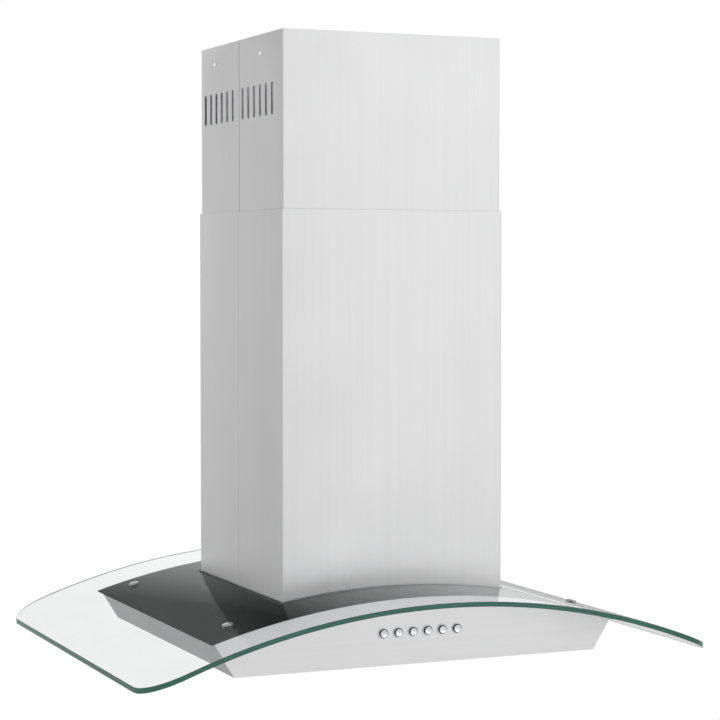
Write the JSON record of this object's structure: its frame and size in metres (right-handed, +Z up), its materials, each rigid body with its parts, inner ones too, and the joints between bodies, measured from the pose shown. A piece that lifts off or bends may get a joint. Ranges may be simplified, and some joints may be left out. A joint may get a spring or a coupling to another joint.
{
  "type": "island range hood",
  "caption": "Ceiling-hung range hood with a telescoping square steel chimney, an arched clear glass canopy and a shallow steel housing with push buttons, lamps and baffle filters.",
  "frame": {"origin": "centre of the ceiling bracket's top face, where it meets the ceiling; the bracket is open there for the duct", "axes": "+Z up to the ceiling, -Y towards the side with the push buttons, +X to the right of a person facing the buttons"},
  "size_m": [0.76, 0.625, 0.7867],
  "materials": {
    "brushed_stainless": "brushed grade 430 or 304 sheet",
    "deck_paint": "dark grey satin enamel",
    "galvanised_steel": "galvanised sheet",
    "zinc_plate": "bright zinc plate",
    "flap_aluminium": "mill finish sheet",
    "motor_enamel": "black stoved enamel",
    "black_plastic": "moulded black plastic",
    "canopy_glass": "clear float glass, green at its polished edge",
    "chrome_plate": "bright chrome plate",
    "clear_silicone": "translucent silicone",
    "frosted_lens": "sand-blasted lens"
  },
  "bodies": {
    "ceiling_frame": {"ceiling_bracket": "zinc_plate", "upper_chimney_front": "brushed_stainless", "upper_chimney_rear": "brushed_stainless", "upper_rail_1": "galvanised_steel", "upper_rail_2": "galvanised_steel", "upper_rail_3": "galvanised_steel", "upper_rail_4": "galvanised_steel"},
    "hood": {"lower_chimney_front": "brushed_stainless", "lower_chimney_rear": "brushed_stainless", "lower_rail_1": "galvanised_steel", "lower_rail_2": "galvanised_steel", "lower_rail_3": "galvanised_steel", "lower_rail_4": "galvanised_steel", "blower_chassis": "galvanised_steel", "duct_collar": "galvanised_steel", "damper_pin": "zinc_plate", "scroll_housing": "galvanised_steel", "scroll_cover": "galvanised_steel", "motor": "motor_enamel", "motor_mount": "zinc_plate", "motor_capacitor": "black_plastic", "junction_box": "zinc_plate", "cable_gland": "black_plastic", "control_box": "black_plastic", "glass_canopy": "canopy_glass", "glass_screw_1": "chrome_plate", "glass_screw_2": "chrome_plate", "glass_screw_3": "chrome_plate", "glass_screw_4": "chrome_plate", "glass_washer_1": "clear_silicone", "glass_washer_2": "clear_silicone", "glass_washer_3": "clear_silicone", "glass_washer_4": "clear_silicone", "top_deck": "deck_paint", "body_shell": "brushed_stainless", "switch_bank": "black_plastic", "bottom_panel": "brushed_stainless", "lamp_cup_1": "chrome_plate", "lamp_cup_2": "chrome_plate", "lamp_cup_3": "chrome_plate", "lamp_cup_4": "chrome_plate", "lamp_lens_1": "frosted_lens", "lamp_lens_2": "frosted_lens", "lamp_lens_3": "frosted_lens", "lamp_lens_4": "frosted_lens"},
    "impeller": {"impeller": "flap_aluminium"},
    "damper_front": {"damper_flap_front": "flap_aluminium"},
    "damper_rear": {"damper_flap_rear": "flap_aluminium"},
    "button_1": {"push_button_1": "chrome_plate"},
    "button_2": {"push_button_2": "chrome_plate"},
    "button_3": {"push_button_3": "chrome_plate"},
    "button_4": {"push_button_4": "chrome_plate"},
    "button_5": {"push_button_5": "chrome_plate"},
    "button_6": {"push_button_6": "chrome_plate"},
    "filter_left": {"baffle_filter_left": "brushed_stainless"},
    "latch_left": {"filter_latch_left": "black_plastic"},
    "filter_right": {"baffle_filter_right": "brushed_stainless"},
    "latch_right": {"filter_latch_right": "black_plastic"}
  },
  "joints": [
    {"name": "chimney_slide", "type": "slide", "parent": "ceiling_frame", "child": "hood", "axis": [0, 0, 1], "range_m": [-0.15, 0.19]},
    {"name": "impeller_spin", "type": "hinge", "parent": "hood", "child": "impeller", "pos_m": [0, -0.053, -0.546], "axis": [1, 0, 0], "continuous": true},
    {"name": "damper_front_swing", "type": "hinge", "parent": "hood", "child": "damper_front", "pos_m": [0, 0, -0.382], "axis": [-1, 0, 0], "range_deg": [0, 78]},
    {"name": "damper_rear_swing", "type": "hinge", "parent": "hood", "child": "damper_rear", "pos_m": [0, 0, -0.382], "axis": [1, 0, 0], "range_deg": [0, 78]},
    {"name": "button_1_press", "type": "slide", "parent": "hood", "child": "button_1", "axis": [0, 1, 0], "range_m": [0, 0.0025], "stiffness_N_per_m": 500, "springref_m": -0.001},
    {"name": "button_2_press", "type": "slide", "parent": "hood", "child": "button_2", "axis": [0, 1, 0], "range_m": [0, 0.0025], "stiffness_N_per_m": 500, "springref_m": -0.001},
    {"name": "button_3_press", "type": "slide", "parent": "hood", "child": "button_3", "axis": [0, 1, 0], "range_m": [0, 0.0025], "stiffness_N_per_m": 500, "springref_m": -0.001},
    {"name": "button_4_press", "type": "slide", "parent": "hood", "child": "button_4", "axis": [0, 1, 0], "range_m": [0, 0.0025], "stiffness_N_per_m": 500, "springref_m": -0.001},
    {"name": "button_5_press", "type": "slide", "parent": "hood", "child": "button_5", "axis": [0, 1, 0], "range_m": [0, 0.0025], "stiffness_N_per_m": 500, "springref_m": -0.001},
    {"name": "button_6_press", "type": "slide", "parent": "hood", "child": "button_6", "axis": [0, 1, 0], "range_m": [0, 0.0025], "stiffness_N_per_m": 500, "springref_m": -0.001},
    {"name": "filter_left_drop", "type": "hinge", "parent": "hood", "child": "filter_left", "pos_m": [0, 0.1455, -0.7807], "axis": [1, 0, 0], "range_deg": [0, 60]},
    {"name": "latch_left_pull", "type": "slide", "parent": "filter_left", "child": "latch_left", "axis": [0, 1, 0], "range_m": [0, 0.004], "stiffness_N_per_m": 600, "springref_m": -0.002},
    {"name": "filter_right_drop", "type": "hinge", "parent": "hood", "child": "filter_right", "pos_m": [0, 0.1455, -0.7807], "axis": [1, 0, 0], "range_deg": [0, 60]},
    {"name": "latch_right_pull", "type": "slide", "parent": "filter_right", "child": "latch_right", "axis": [0, 1, 0], "range_m": [0, 0.004], "stiffness_N_per_m": 600, "springref_m": -0.002}
  ]
}
